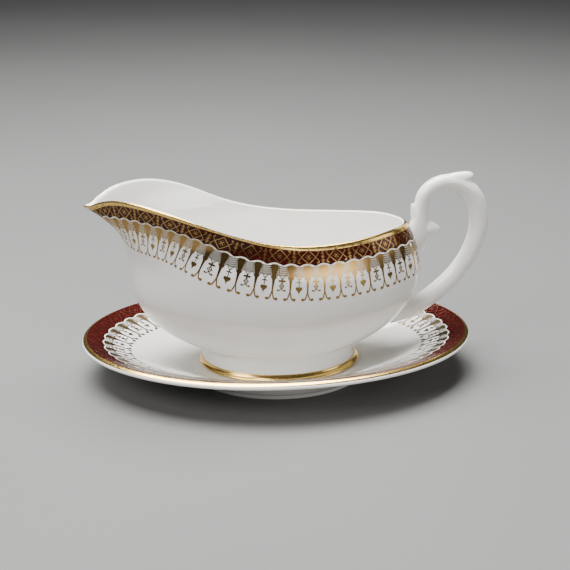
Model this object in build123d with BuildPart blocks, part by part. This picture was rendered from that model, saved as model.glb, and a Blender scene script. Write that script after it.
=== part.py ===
from build123d import *
import math
import os

os.makedirs("parts", exist_ok=True)

# Gravy boat on its oval stand, both in glazed china.
# Frame: millimetres, +Z up. The origin is the centre of the stand's foot ring, on the table.
# The spout points to -X and the handle to +X.

# ---------------------------------------------------------------- driving dimensions
FLOOR_Z = 5.5             # top of the stand's floor, where the boat's foot rests
PLATE_T = 2.7             # thickness of the stand's wall
RIM_A, RIM_B = 98.0, 66.3  # half axes of the stand's edge
RIM_Z = 21.8              # height of the stand's edge
STAND_FOOT_A, STAND_FOOT_B = 45.0, 38.8   # half axes of the stand's foot ring, outside
STAND_FOOT_W = 3.0        # width of that ring's rest face
BOWL_WALL = 2.6           # wall of the boat's bowl
BOWL_BASE_Z = 15.5        # underside of the bowl, inside its foot
BOWL_BASE_T = 3.2         # thickness of the bowl's bottom
FOOT_TOP_A, FOOT_TOP_B = 38.0, 28.6       # half axes of the foot at its neck
FOOT_WALL = 3.6           # wall of the boat's foot
GILT_FOOT_H = 2.1         # height of the gilt band on the foot
LAYER_GAP = 0.03          # gap between the glaze and a fired layer
LAYER_T = 0.16            # thickness of a fired layer
RIM_LINE_W = 1.4          # width of the gilt line on the boat's rim
BAND_W = 8.3              # width of the boat's maroon band
LACE_W = 17.5             # depth of the boat's lace border
STAND_LINE_W = 1.7        # width of the gilt line on the stand's edge
HANDLE_T = 4.0            # half thickness of the handle across Y

# Bowl sections: height, spout end x, back end x, lean, half width, two pinch terms for the lip
HULL = [
    (15.5, -37.50, 37.50, 0.30, 27.07, 0.050, -0.050),
    (19.0, -46.00, 45.50, 0.50, 30.70, 0.050, -0.050),
    (23.5, -55.00, 54.00, 0.75, 33.70, 0.050, -0.050),
    (29.5, -63.00, 61.80, 1.10, 36.30, 0.060, -0.050),
    (37.5, -69.60, 68.30, 1.90, 38.50, 0.080, -0.060),
    (46.5, -73.10, 72.00, 2.50, 39.36, 0.061, -0.031),
    (55.5, -74.30, 72.80, 4.38, 38.93, 0.063, 0.020),
    (64.5, -75.20, 71.00, 6.29, 37.38, 0.051, 0.084),
    (71.5, -76.80, 68.40, 6.40, 34.90, 0.020, -0.040),
    (77.5, -79.35, 64.90, 7.20, 33.20, 0.120, -0.170),
    (82.5, -83.90, 62.40, 9.70, 33.60, 0.383, -0.221),
    (87.5, -90.30, 61.00, 11.70, 35.20, 0.800, -0.276),
    (92.5, -97.00, 60.50, 11.40, 36.60, 1.250, -0.371),
    (99.5, -103.50, 60.50, 10.00, 38.20, 1.640, -0.700),
]

# Foot and neck, below the bowl: same columns
FOOT = [
    (FLOOR_Z, -40.30, 42.10, 0.0, 31.60, 0.0, 0.0),
    (FLOOR_Z + 0.9, -40.40, 42.20, 0.0, 31.60, 0.0, 0.0),
    (FLOOR_Z + 1.7, -40.00, 41.40, 0.0, 30.80, 0.0, 0.0),
    (FLOOR_Z + 2.7, -39.30, 39.90, 0.0, 29.80, 0.0, 0.0),
    (FLOOR_Z + 5.5, -38.80, 39.00, 0.0, 29.10, 0.0, 0.0),
    (FLOOR_Z + 8.5, -38.20, 38.30, 0.0, 28.60, 0.0, 0.0),
    (FLOOR_Z + 10.7, -38.60, 38.50, 0.1, 28.60, 0.0, 0.0),
    (FLOOR_Z + 12.0, -42.20, 41.80, 0.4, 29.30, 0.03, -0.03),
]

# Height of the rim along X
RIM = [
    (-112.0, 74.0), (-104.0, 82.6), (-98.5, 87.6), (-95.1, 90.57), (-92.1, 92.6), (-86.8, 95.2), (-81.5, 96.75),
    (-76.2, 97.24), (-70.8, 97.08), (-65.5, 96.45), (-60.2, 95.4), (-54.9, 94.05), (-49.6, 92.4),
    (-39.0, 88.5), (-28.4, 84.3), (-17.7, 80.9), (-7.1, 78.54), (3.5, 77.05), (14.1, 76.35),
    (24.8, 76.35), (35.4, 76.76), (46.0, 77.5), (56.6, 78.2), (65.0, 78.1), (80.0, 77.5),
]

# Handle stations along its spine: x, z, half width in the XZ plane, half thickness across Y
HANDLE = [
    (58.0, 27.3, 5.3, 4.6),
    (67.0, 29.4, 5.0, 4.5),
    (75.5, 33.6, 4.8, 4.3),
    (82.8, 39.0, 4.7, 4.2),
    (89.3, 45.2, 4.6, 4.1),
    (95.0, 52.4, 4.5, 4.0),
    (99.6, 60.8, 4.45, 4.0),
    (102.4, 69.0, 4.4, 4.0),
    (103.1, 76.5, 4.4, 4.0),
    (101.9, 83.5, 4.4, 4.0),
    (98.9, 89.8, 4.4, 4.0),
    (94.2, 94.6, 4.3, 4.0),
    (88.2, 97.0, 4.15, 3.9),
    (82.0, 96.6, 4.1, 3.9),
    (76.6, 93.8, 4.05, 3.9),
    (73.4, 89.5, 3.9, 3.9),
    (72.3, 84.0, 3.9, 4.0),
    (72.1, 78.0, 4.6, 4.3),
    (71.8, 72.5, 6.0, 4.6),
    (69.8, 67.0, 6.3, 4.6),
    (65.5, 63.0, 5.2, 4.2),
]

# Stand, upper surface: half axes and height
STAND_TOP = [
    (44.6, 35.2, FLOOR_Z),
    (48.5, 37.2, 6.3),
    (57.0, 40.0, 7.9),
    (66.5, 42.6, 10.3),
    (74.4, 45.0, 13.3),
    (82.0, 51.6, 16.4),
    (89.0, 58.3, 19.0),
    (94.0, 62.7, 20.7),
]


# ---------------------------------------------------------------- helpers
def bend(table):
    """Second derivatives of the natural cubic spline through (x, y) rows."""
    n = len(table)
    u, m = [0.0] * n, [0.0] * n
    for i in range(1, n - 1):
        (x0, y0), (x1, y1), (x2, y2) = table[i - 1], table[i], table[i + 1]
        sig = (x1 - x0) / (x2 - x0)
        p = sig * m[i - 1] + 2.0
        m[i] = (sig - 1.0) / p
        d = (y2 - y1) / (x2 - x1) - (y1 - y0) / (x1 - x0)
        u[i] = (6.0 * d / (x2 - x0) - sig * u[i - 1]) / p
    for i in range(n - 2, -1, -1):
        m[i] = m[i] * m[i + 1] + u[i]
    return m


def interp(table, x, cache={}):
    """Natural cubic spline through (x, y) rows."""
    key = tuple(table)
    if key not in cache:
        cache[key] = bend(table)
    m = cache[key]
    i = max(0, min(len(table) - 2, sum(1 for p in table if p[0] <= x) - 1))
    (x1, y1), (x2, y2) = table[i], table[i + 1]
    h = x2 - x1
    p, q = (x2 - x) / h, (x - x1) / h
    return p * y1 + q * y2 + ((p**3 - p) * m[i] + (q**3 - q) * m[i + 1]) * h * h / 6.0


def hull_points(row, offset, count=56):
    """One closed section of the bowl, moved outward by offset (inward when negative)."""
    z, xl, xr, lean, half, pa, pb = row
    x0, a = (xl + xr) / 2, (xr - xl) / 2
    pts = []
    for k in range(count):
        f = 2 * math.pi * (k + 0.5) / count
        c, s = math.cos(f), math.sin(f)
        q = (1 - c) / 2
        g = 1 - q * (pa * c * c + pb * c**4)
        x = x0 + a * c - lean * s * s
        y = half * s * g
        dx = -a * s - 2 * lean * s * c
        dg = -(s / 2) * (pa * c * c + pb * c**4) + q * (2 * pa * c * s + 4 * pb * c**3 * s)
        dy = half * (c * g + s * dg)
        n = math.hypot(dx, dy)
        pts.append((x + offset * dy / n, y - offset * dx / n))
    return pts


def ring(points):
    """A closed smooth curve with evenly spaced knots, so that every section of a loft shares them."""
    n = len(points)
    add(Edge.make_spline([Vector(x, y) for x, y in points], periodic=True, parameters=[k / n for k in range(n + 1)]))


def row_at(z):
    """Section values at any height."""
    return (z,) + tuple(interp([(r[0], r[k]) for r in HULL], z) for k in range(1, 7))


def thinned(row, wall):
    """The section inside a wall of this thickness; the lip's end keeps a little more."""
    z, xl, xr, lean, half, pa, pb = row
    lip = wall * (1 + 0.35 * max(0.0, min(1.0, (z - 75) / 15)))
    return (z, xl + lip, xr - wall, lean, half - wall, pa, pb)


def wall_z(rise):
    """The rim's height curve moved by rise, as points in the XZ plane."""
    return [(x, z + rise) for x, z in RIM]


# ---------------------------------------------------------------- bowl
HEIGHTS = [19.0, 21.2, 23.5, 26.5, 29.5, 33.5, 37.5, 42.0, 46.5, 51.0, 55.5, 60.0, 64.5, 68.0,
           71.5, 74.5, 77.5, 80.0, 82.5, 85.0, 87.5, 90.0, 92.5, 96.0, 99.5]
with BuildPart() as hull:
    for row in FOOT + [row_at(z) for z in HEIGHTS]:
        with BuildSketch(Plane.XY.offset(row[0])):
            with BuildLine():
                ring(hull_points(row, 0.0))
            make_face()
    loft()

# Hollow of the bowl, rounded in towards its bottom
INNER_Z = BOWL_BASE_Z + BOWL_BASE_T
hollow_rows = [(INNER_Z, 9.0), (INNER_Z + 1.0, 6.4), (23.0, 4.2)] + [(row[0], BOWL_WALL) for row in HULL[3:]]
with BuildPart() as hollow:
    for z, wall in hollow_rows:
        with BuildSketch(Plane.XY.offset(z)):
            with BuildLine():
                ring(hull_points(thinned(row_at(z), wall), 0.0))
            make_face()
    loft()

# Everything above the rim
with BuildPart() as over_rim:
    with BuildSketch(Plane.XZ):
        with BuildLine():
            Spline(*wall_z(0.0))
            Polyline(wall_z(0.0)[-1], (80.0, 130.0), (-112.0, 130.0), wall_z(0.0)[0])
        make_face()
    extrude(amount=70, both=True)

# Hollow under the bowl, inside the foot
with BuildPart() as foot_hollow:
    for a, b, x, z in (
        (41.2 - FOOT_WALL, 31.6 - FOOT_WALL, 0.9, FLOOR_Z - 0.5), (35.3, 25.6, 0.3, FLOOR_Z + 4.0),
        (34.0, 24.0, 0.0, BOWL_BASE_Z - 1.0), (31.0, 21.0, 0.0, BOWL_BASE_Z),
    ):
        with BuildSketch(Plane(origin=(x, 0, z), z_dir=(0, 0, 1))):
            Ellipse(a, b)
    loft()

with BuildPart() as boat_bowl:
    add(hull.part)
    add(over_rim.part, mode=Mode.SUBTRACT)
    add(hollow.part, mode=Mode.SUBTRACT)
    add(foot_hollow.part, mode=Mode.SUBTRACT)
boat_bowl.part.label = "boat_bowl"

# ---------------------------------------------------------------- handle
with BuildPart() as loop:
    n = len(HANDLE)
    for i, (x, z, w, t) in enumerate(HANDLE):
        p, q = HANDLE[max(0, i - 1)], HANDLE[min(n - 1, i + 1)]
        d = Vector(q[0] - p[0], 0, q[1] - p[1]).normalized()
        with BuildSketch(Plane(origin=(x, 0, z), x_dir=(0, 1, 0), z_dir=d)):
            Ellipse(t, w)
    loft()


def horn(points):
    """A tapering horn through round stations (x, z, radius)."""
    with BuildPart() as made:
        m = len(points)
        for i, (x, z, r) in enumerate(points):
            p, q = points[max(0, i - 1)], points[min(m - 1, i + 1)]
            d = Vector(q[0] - p[0], 0, q[1] - p[1]).normalized()
            with BuildSketch(Plane(origin=(x, 0, z), x_dir=(0, 1, 0), z_dir=d)):
                Circle(r)
        loft()
    return made.part


thumb_spur = horn([(88.0, 97.6, 3.5), (92.5, 98.9, 3.2), (95.2, 99.6, 2.7), (97.0, 100.1, 2.2), (98.4, 100.5, 1.3)])
leaf_tip = horn([(71.6, 78.5, 3.6), (69.7, 82.0, 2.4), (68.3, 84.6, 1.1), (67.7, 85.8, 0.4)])
inner_spur = horn([(72.0, 73.4, 4.7), (76.0, 72.9, 4.6), (78.6, 72.8, 3.7), (80.5, 73.0, 2.5), (82.0, 73.1, 1.2)])
tail = horn([(70.5, 70.5, 4.8), (72.2, 66.2, 3.8), (73.0, 63.0, 2.5), (73.2, 60.8, 1.2)])

with BuildPart() as boat_handle:
    add(loop.part)
    for piece in (thumb_spur, leaf_tip, inner_spur, tail):
        add(piece)
    add(hull.part, mode=Mode.SUBTRACT)
boat_handle.part.label = "boat_handle"


# ---------------------------------------------------------------- fired layers on the boat
# The handle's upper seat is kept clear of the layers
with BuildPart() as handle_room:
    with BuildSketch(Plane.XZ):
        with Locations((72.0, 74.0)):
            Rectangle(24.0, 34.0)
    extrude(amount=6.2, both=True)


def skin(gap):
    """A thin skin all over the upper bowl, standing off the glaze by gap."""
    with BuildPart() as made:
        for offset, mode in ((gap + LAYER_T, Mode.ADD), (gap, Mode.SUBTRACT)):
            for row in (row_at(z) for z in HEIGHTS if z > 40):
                with BuildSketch(Plane.XY.offset(row[0])):
                    with BuildLine():
                        ring(hull_points(row, offset))
                    make_face()
            loft(mode=mode)
        add(handle_room.part, mode=Mode.SUBTRACT)
    return made.part


def zone(top, bottom):
    """The slice of space between two copies of the rim's curve."""
    with BuildPart() as made:
        with BuildSketch(Plane.XZ):
            with BuildLine():
                hi, lo = wall_z(top), wall_z(bottom)
                Spline(*hi)
                Spline(*lo)
                Line(hi[0], lo[0])
                Line(hi[-1], lo[-1])
            make_face()
        extrude(amount=70, both=True)
    return made.part


under, over = skin(LAYER_GAP), skin(2 * LAYER_GAP + LAYER_T)

with BuildPart() as boat_rim_gilding:
    add(under)
    add(zone(-0.1, -RIM_LINE_W), mode=Mode.INTERSECT)
boat_rim_gilding.part.label = "boat_rim_gilding"

with BuildPart() as boat_maroon_band:
    add(under)
    add(zone(-RIM_LINE_W - 0.05, -RIM_LINE_W - BAND_W), mode=Mode.INTERSECT)
boat_maroon_band.part.label = "boat_maroon_band"

with BuildPart() as boat_lace_border:
    add(under)
    add(zone(-RIM_LINE_W - BAND_W - 0.05, -RIM_LINE_W - BAND_W - LACE_W), mode=Mode.INTERSECT)
boat_lace_border.part.label = "boat_lace_border"

# Lozenge frames of the gilt print, laid over the maroon band
LOZENGE_PITCH = 14.0
LOZENGE_W, LOZENGE_H = 7.2, 6.2
with BuildPart() as lozenges:
    x = -78.0
    while x < 60.0:
        zc = interp(RIM, x) - RIM_LINE_W - BAND_W / 2
        tilt = math.degrees(math.atan((interp(RIM, x + 1) - interp(RIM, x - 1)) / 2))
        w, h = LOZENGE_W / 2, LOZENGE_H / 2
        with BuildSketch(Plane.XZ):
            with Locations((x, zc)):
                Polygon((-w, 0), (0, h), (w, 0), (0, -h), rotation=tilt, align=None)
                Polygon((-w + 1.1, 0), (0, h - 0.95), (w - 1.1, 0), (0, -h + 0.95), rotation=tilt, align=None, mode=Mode.SUBTRACT)
        extrude(amount=70, both=True)
        x += LOZENGE_PITCH
with BuildPart() as boat_band_gilt_print:
    add(over)
    add(lozenges.part, mode=Mode.INTERSECT)
boat_band_gilt_print.part.label = "boat_band_gilt_print"


def foot_skin(gap):
    """The foot's outside, moved outward by gap."""
    with BuildPart() as made:
        for z, xl, xr, _, half, _, _ in FOOT[:6]:
            with BuildSketch(Plane(origin=((xl + xr) / 2, 0, z), z_dir=(0, 0, 1))):
                Ellipse((xr - xl) / 2 + gap, half + gap)
        loft()
    return made.part


with BuildPart() as boat_foot_gilding:
    add(foot_skin(LAYER_GAP + LAYER_T))
    add(foot_skin(LAYER_GAP), mode=Mode.SUBTRACT)
    with BuildSketch(Plane.XY.offset(FLOOR_Z + 0.15)):
        Rectangle(120, 100)
    extrude(amount=GILT_FOOT_H, mode=Mode.INTERSECT)
boat_foot_gilding.part.label = "boat_foot_gilding"


# ---------------------------------------------------------------- stand
def stand_air(rise):
    """The space above the stand's upper surface, raised by rise."""
    with BuildPart() as made:
        for a, b, z in STAND_TOP:
            with BuildSketch(Plane.XY.offset(z + rise)):
                Ellipse(a, b)
        with BuildSketch(Plane.XY.offset(RIM_Z - 0.2 + rise)):
            Ellipse(RIM_A - 0.6, RIM_B - 0.6)
        loft()
    return made.part


with BuildPart() as stand_plate:
    for a, b, z in (
        (44.8, 38.4, FLOOR_Z - PLATE_T), (49.0, 40.2, FLOOR_Z - PLATE_T + 0.5), (58.5, 42.6, 5.4), (68.2, 45.4, 8.0),
        (76.6, 48.6, 10.9), (84.4, 54.4, 14.1), (91.0, 60.2, 16.9), (96.0, 64.4, 18.8), (RIM_A - 0.1, RIM_B - 0.1, 20.0),
        (RIM_A, RIM_B, 20.8), (RIM_A - 0.25, RIM_B - 0.25, RIM_Z - 0.2),
    ):
        with BuildSketch(Plane.XY.offset(z)):
            Ellipse(a, b)
    loft()
    add(stand_air(0.0), mode=Mode.SUBTRACT)
    # foot ring
    with BuildSketch(Plane.XY):
        Ellipse(STAND_FOOT_A, STAND_FOOT_B)
        Ellipse(STAND_FOOT_A - STAND_FOOT_W, STAND_FOOT_B - STAND_FOOT_W, mode=Mode.SUBTRACT)
    extrude(amount=FLOOR_Z - PLATE_T + 0.6)
stand_plate.part.label = "stand_plate"


def ring_zone(a1, b1, a2, b2):
    with BuildPart() as made:
        with BuildSketch(Plane.XY):
            Ellipse(a1, b1)
            Ellipse(a2, b2, mode=Mode.SUBTRACT)
        extrude(amount=RIM_Z + 2)
    return made.part


def stand_layer(name, low, high, ring):
    with BuildPart() as made:
        add(stand_air(low))
        add(stand_air(high), mode=Mode.SUBTRACT)
        add(ring, mode=Mode.INTERSECT)
    made.part.label = name
    return made.part


LINE_A, LINE_B = RIM_A - 0.9, RIM_B - 0.9
BAND_A, BAND_B = LINE_A - STAND_LINE_W, LINE_B - STAND_LINE_W
LACE_A, LACE_B = 89.0, 58.3
LACE_IN_A, LACE_IN_B = 74.4, 45.0
stand_rim_gilding = stand_layer("stand_rim_gilding", LAYER_GAP, LAYER_GAP + LAYER_T, ring_zone(LINE_A, LINE_B, BAND_A, BAND_B))
stand_maroon_band = stand_layer("stand_maroon_band", LAYER_GAP, LAYER_GAP + LAYER_T, ring_zone(BAND_A - 0.05, BAND_B - 0.05, LACE_A, LACE_B))
stand_lace_border = stand_layer("stand_lace_border", LAYER_GAP, LAYER_GAP + LAYER_T, ring_zone(LACE_A - 0.05, LACE_B - 0.05, LACE_IN_A, LACE_IN_B))

# Lozenge frames of the gilt print on the stand's band
STAND_LOZENGES = 34
STAND_LOZENGE_W, STAND_LOZENGE_H = 7.2, 4.6
MID_A, MID_B = (BAND_A + LACE_A) / 2, (BAND_B + LACE_B) / 2
with BuildPart() as stand_lozenges:
    steps = 3600
    walk = [0.0]
    for k in range(steps):
        t1, t2 = 2 * math.pi * k / steps, 2 * math.pi * (k + 1) / steps
        walk.append(walk[-1] + math.hypot(MID_A * (math.cos(t2) - math.cos(t1)), MID_B * (math.sin(t2) - math.sin(t1))))
    with BuildSketch(Plane.XY):
        for k in range(STAND_LOZENGES):
            want = walk[-1] * (k + 0.5) / STAND_LOZENGES
            t = 2 * math.pi * sum(1 for d in walk if d < want) / steps
            x, y = MID_A * math.cos(t), MID_B * math.sin(t)
            turn = math.degrees(math.atan2(MID_B * math.cos(t), -MID_A * math.sin(t)))
            w, h = STAND_LOZENGE_W / 2, STAND_LOZENGE_H / 2
            with Locations((x, y)):
                Polygon((-w, 0), (0, h), (w, 0), (0, -h), rotation=turn, align=None)
                Polygon((-w + 1.2, 0), (0, h - 0.85), (w - 1.2, 0), (0, -h + 0.85), rotation=turn, align=None, mode=Mode.SUBTRACT)
    extrude(amount=RIM_Z + 2)
stand_band_gilt_print = stand_layer("stand_band_gilt_print", 2 * LAYER_GAP + LAYER_T, 2 * (LAYER_GAP + LAYER_T), stand_lozenges.part)

# ---------------------------------------------------------------- files
pieces = {
    "boat_bowl": boat_bowl.part,
    "boat_handle": boat_handle.part,
    "boat_rim_gilding": boat_rim_gilding.part,
    "boat_maroon_band": boat_maroon_band.part,
    "boat_band_gilt_print": boat_band_gilt_print.part,
    "boat_lace_border": boat_lace_border.part,
    "boat_foot_gilding": boat_foot_gilding.part,
    "stand_plate": stand_plate.part,
    "stand_rim_gilding": stand_rim_gilding,
    "stand_maroon_band": stand_maroon_band,
    "stand_band_gilt_print": stand_band_gilt_print,
    "stand_lace_border": stand_lace_border,
}
for name, shape in pieces.items():
    shape.label = name
    export_step(shape, f"parts/{name}.step")
    box = shape.bounding_box()
    print(f"{name:24s} solids {len(shape.solids()):3d}  volume {shape.volume:10.2f}  valid {shape.is_valid}  "
          f"x {box.min.X:.2f}..{box.max.X:.2f}  y {box.min.Y:.2f}..{box.max.Y:.2f}  z {box.min.Z:.2f}..{box.max.Z:.2f}")
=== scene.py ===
import bpy
import math
import numpy as np
from mathutils import Vector, Matrix


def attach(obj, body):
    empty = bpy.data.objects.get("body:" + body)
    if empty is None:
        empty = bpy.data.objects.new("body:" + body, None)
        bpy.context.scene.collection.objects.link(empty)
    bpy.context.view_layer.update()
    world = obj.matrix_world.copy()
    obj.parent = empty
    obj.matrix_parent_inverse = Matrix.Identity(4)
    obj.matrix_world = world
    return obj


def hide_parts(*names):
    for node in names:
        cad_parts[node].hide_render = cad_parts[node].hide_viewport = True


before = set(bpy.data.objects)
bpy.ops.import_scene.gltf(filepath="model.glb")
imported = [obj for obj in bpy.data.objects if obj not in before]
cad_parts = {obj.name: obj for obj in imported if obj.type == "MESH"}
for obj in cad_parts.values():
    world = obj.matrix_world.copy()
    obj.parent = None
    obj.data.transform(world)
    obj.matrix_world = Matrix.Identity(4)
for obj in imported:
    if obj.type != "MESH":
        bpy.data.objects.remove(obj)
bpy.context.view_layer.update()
MM = 0.001

# ------------------------------------------------------------------ the shape's tables (mm), as in the CAD
FLOOR_Z = 5.5
RIM_A, RIM_B, RIM_Z = 98.0, 66.3, 21.8
HULL = np.array([
    (15.5, -37.50, 37.50, 0.30, 27.07, 0.050, -0.050),
    (19.0, -46.00, 45.50, 0.50, 30.70, 0.050, -0.050),
    (23.5, -55.00, 54.00, 0.75, 33.70, 0.050, -0.050),
    (29.5, -63.00, 61.80, 1.10, 36.30, 0.060, -0.050),
    (37.5, -69.60, 68.30, 1.90, 38.50, 0.080, -0.060),
    (46.5, -73.10, 72.00, 2.50, 39.36, 0.061, -0.031),
    (55.5, -74.30, 72.80, 4.38, 38.93, 0.063, 0.020),
    (64.5, -75.20, 71.00, 6.29, 37.38, 0.051, 0.084),
    (71.5, -76.80, 68.40, 6.40, 34.90, 0.020, -0.040),
    (77.5, -79.35, 64.90, 7.20, 33.20, 0.120, -0.170),
    (82.5, -83.90, 62.40, 9.70, 33.60, 0.383, -0.221),
    (87.5, -90.30, 61.00, 11.70, 35.20, 0.800, -0.276),
    (92.5, -97.00, 60.50, 11.40, 36.60, 1.250, -0.371),
    (99.5, -103.50, 60.50, 10.00, 38.20, 1.640, -0.700)])
RIM = np.array([
    (-112.0, 74.0), (-104.0, 82.6), (-98.5, 87.6), (-95.1, 90.57), (-92.1, 92.6), (-86.8, 95.2), (-81.5, 96.75),
    (-76.2, 97.24), (-70.8, 97.08), (-65.5, 96.45), (-60.2, 95.4), (-54.9, 94.05), (-49.6, 92.4),
    (-39.0, 88.5), (-28.4, 84.3), (-17.7, 80.9), (-7.1, 78.54), (3.5, 77.05), (14.1, 76.35),
    (24.8, 76.35), (35.4, 76.76), (46.0, 77.5), (56.6, 78.2), (65.0, 78.1), (80.0, 77.5)])
HANDLE = np.array([
    (58.0, 27.3, 5.3, 4.6), (67.0, 29.4, 5.0, 4.5), (75.5, 33.6, 4.8, 4.3), (82.8, 39.0, 4.7, 4.2),
    (89.3, 45.2, 4.6, 4.1), (95.0, 52.4, 4.5, 4.0), (99.6, 60.8, 4.45, 4.0), (102.4, 69.0, 4.4, 4.0),
    (103.1, 76.5, 4.4, 4.0), (101.9, 83.5, 4.4, 4.0), (98.9, 89.8, 4.4, 4.0), (94.2, 94.6, 4.3, 4.0),
    (88.2, 97.0, 4.15, 3.9), (82.0, 96.6, 4.1, 3.9), (76.6, 93.8, 4.05, 3.9), (73.0, 89.3, 4.0, 3.9),
    (71.7, 83.6, 4.15, 4.0), (71.9, 78.0, 4.8, 4.3), (71.8, 72.5, 6.0, 4.6), (69.8, 67.0, 6.3, 4.6),
    (65.5, 63.0, 5.2, 4.2)])


# ------------------------------------------------------------------ small numeric helpers
class Natural:
    """Natural cubic spline through columns of values."""

    def __init__(self, x, y):
        self.x = np.asarray(x, float)
        self.y = np.asarray(y, float).reshape(len(self.x), -1)
        n = len(self.x)
        h = np.diff(self.x)
        A = np.zeros((n, n))
        R = np.zeros_like(self.y)
        A[0, 0] = A[-1, -1] = 1
        for i in range(1, n - 1):
            A[i, i - 1], A[i, i], A[i, i + 1] = h[i - 1], 2 * (h[i - 1] + h[i]), h[i]
            R[i] = 6 * ((self.y[i + 1] - self.y[i]) / h[i] - (self.y[i] - self.y[i - 1]) / h[i - 1])
        self.m = np.linalg.solve(A, R)

    def __call__(self, q):
        q = np.asarray(q, float)
        i = np.clip(np.searchsorted(self.x, q, side="right") - 1, 0, len(self.x) - 2)
        h = self.x[i + 1] - self.x[i]
        a = ((self.x[i + 1] - q) / h)[..., None]
        b = ((q - self.x[i]) / h)[..., None]
        h = h[..., None]
        return a * self.y[i] + b * self.y[i + 1] + ((a**3 - a) * self.m[i] + (b**3 - b) * self.m[i + 1]) * h * h / 6


hull_rows = Natural(HULL[:, 0], HULL[:, 1:])
rim_line = Natural(RIM[:, 0], RIM[:, 1])


def section(p, f):
    """x, y of a section with values p (spout end, back end, lean, half width, pinch a, pinch b) at angle f."""
    xl, xr, lean, half, pa, pb = (p[..., k] for k in range(6))
    c, s = np.cos(f), np.sin(f)
    g = 1 - (1 - c) / 2 * (pa * c * c + pb * c**4)
    return (xl + xr) / 2 + (xr - xl) / 2 * c - lean * s * s, half * s * g


def on_hull(f, z):
    f, z = np.broadcast_arrays(np.asarray(f, float), np.asarray(z, float))
    x, y = section(hull_rows(z), f)
    x = x - 1.2 * np.exp(-(1 + np.cos(f)) / 0.006) * np.clip((z - 83.0) / 7.0, 0, 1) ** 2     # the lip's drawn-out tip
    return np.stack([x, y, z], -1)


def unit(v):
    return v / np.maximum(np.linalg.norm(v, axis=-1, keepdims=True), 1e-12)


def hull_frame(f, z):
    p = on_hull(f, z)
    du = (on_hull(f + 1e-4, z) - on_hull(f - 1e-4, z)) / 2e-4
    dv = (on_hull(f, z + 0.01) - on_hull(f, z - 0.01)) / 0.02
    return p, du, dv, unit(np.cross(du, dv))


def rim_height(f):
    lo, hi = np.full_like(f, 60.0), np.full_like(f, 99.0)
    for _ in range(42):
        mid = (lo + hi) / 2
        below = mid < rim_line(on_hull(f, mid)[..., 0])[..., 0]
        lo, hi = np.where(below, mid, lo), np.where(below, hi, mid)
    return lo


def make_mesh(name, verts, faces, smooth=True, normals=None):
    me = bpy.data.meshes.new(name)
    me.from_pydata([tuple(v) for v in (np.asarray(verts) * MM)], [], [tuple(int(i) for i in f) for f in faces])
    me.update()
    if smooth:
        me.polygons.foreach_set("use_smooth", np.ones(len(me.polygons), bool))
    if normals is not None:
        me.normals_split_custom_set_from_vertices([tuple(n) for n in normals])
    ob = bpy.data.objects.new(name, me)
    bpy.context.scene.collection.objects.link(ob)
    return ob


def grid_faces(nu, nv, wrap=True, start=0):
    """Quads of a grid stored row by row (nv rows of nu points); columns wrap round."""
    u = np.arange(nu if wrap else nu - 1)
    un = (u + 1) % nu
    out = []
    for v in range(nv - 1):
        a, b = start + v * nu, start + (v + 1) * nu
        out.append(np.stack([a + u, a + un, b + un, b + u], -1))
    return np.concatenate(out)


# ------------------------------------------------------------------ the bowl: one closed grid
def foot_params(rows):
    """(z, spout end, back end, half width) rows of the foot as section values."""
    r = np.array(rows, float)
    z = np.zeros(len(r))
    return r[:, 0], np.stack([r[:, 1], r[:, 2], z, r[:, 3], z, z], -1)


NF = 560
base = np.linspace(0, 2 * np.pi, NF, endpoint=False)
PHI = base - 0.30 * np.sin(2 * base)          # a little closer together at the lip and the back
ZR = rim_height(PHI)

FOOT_OUT = [(5.50, -39.6, 41.3, 30.9), (5.62, -40.1, 41.8, 31.3), (6.0, -40.4, 42.1, 31.6), (6.5, -40.45, 42.2, 31.65),
            (7.1, -40.1, 41.6, 31.0), (7.7, -39.6, 40.6, 30.3), (8.4, -39.3, 39.9, 29.75), (9.6, -39.05, 39.45, 29.4),
            (11.5, -38.75, 38.95, 29.05), (13.5, -38.45, 38.5, 28.75), (15.0, -38.35, 38.3, 28.6), (16.0, -38.6, 38.45, 28.6),
            (16.8, -39.6, 39.3, 28.75), (17.6, -41.9, 41.5, 29.25), (18.3, -44.0, 43.55, 29.9)]
FOOT_IN = [(5.50, -38.3, 40.0, 29.6), (5.50, -37.6, 39.3, 28.9), (5.7, -37.0, 38.7, 28.3), (6.6, -36.6, 38.1, 27.8),
           (9.0, -36.0, 37.0, 27.0), (12.5, -35.0, 35.4, 25.4), (14.6, -33.4, 33.6, 23.6), (15.3, -31.0, 31.0, 21.2),
           (15.5, -27.0, 27.0, 18.0), (15.5, -14.0, 14.0, 9.0), (15.5, -0.3, 0.3, 0.2)]


def rows_at(zs, ps):
    out = []
    for z, p in zip(zs, ps):
        x, y = section(np.broadcast_to(p, (NF, 6)), PHI)
        out.append(np.stack([x, y, np.full(NF, z)], -1))
    return out


def spline_rows(rows, count):
    """More rows of the foot on a smooth curve through the given ones."""
    r = np.array(rows, float)
    d = np.concatenate([[0], np.cumsum(np.linalg.norm(np.diff(r, axis=0), axis=1))])
    q = Natural(d, r)(np.linspace(0, d[-1], count))
    return q


fo = spline_rows(FOOT_OUT, 34)
fi = spline_rows(FOOT_IN, 26)
WALL = 2.5


def inner_params(z):
    """Section values of the bowl's inside."""
    p = hull_rows(z).copy()
    w = np.interp(z, [18.9, 19.4, 20.6, 23.0, 27.0, 33.0, 60.0, 100.0], [13.5, 9.6, 6.4, 4.3, 3.3, 2.8, WALL, WALL])
    lip = w * (1 + 0.30 * np.clip((z - 75) / 15, 0, 1))
    p[..., 0] += lip
    p[..., 1] -= w
    p[..., 3] -= w
    return p


rows = []
zs, ps = foot_params(fi[::-1])
rows += rows_at(zs, ps)
zs, ps = foot_params(fo)
rows += rows_at(zs, ps)
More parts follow.
